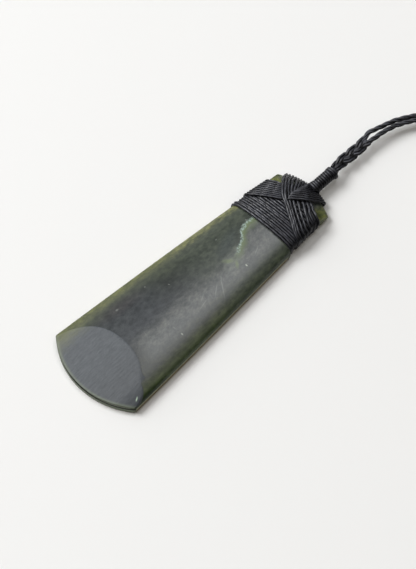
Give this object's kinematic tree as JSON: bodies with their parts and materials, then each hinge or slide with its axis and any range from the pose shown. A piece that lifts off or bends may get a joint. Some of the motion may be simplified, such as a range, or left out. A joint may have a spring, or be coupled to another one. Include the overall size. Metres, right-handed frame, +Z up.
{
  "type": "greenstone adze pendant",
  "caption": "Flat adze-shaped stone pendant with a bevelled cutting edge, lashed at its butt with waxed thread that runs into a neck cord.",
  "frame": {"origin": "on the blade's flat back, on its centre line, level with the corners of the cutting edge", "axes": "+Y from the cutting edge to the butt, +Z up out of the crowned front, +X to the side that the neck cord bends to"},
  "size_m": [0.2544, 0.2116, 0.0072],
  "materials": {
    "greenstone": "polished to a soft satin, dark grey-green, olive where it is thin",
    "waxed_thread": "black twisted thread with a waxy sheen"
  },
  "bodies": {
    "root": {"blade": "greenstone", "wrap_band": "waxed_thread", "cross_band_lower": "waxed_thread", "cross_band_upper": "waxed_thread", "neck_coil": "waxed_thread", "neck_plait": "waxed_thread", "neck_strand_left": "waxed_thread", "neck_strand_right": "waxed_thread"}
  },
  "joints": []
}
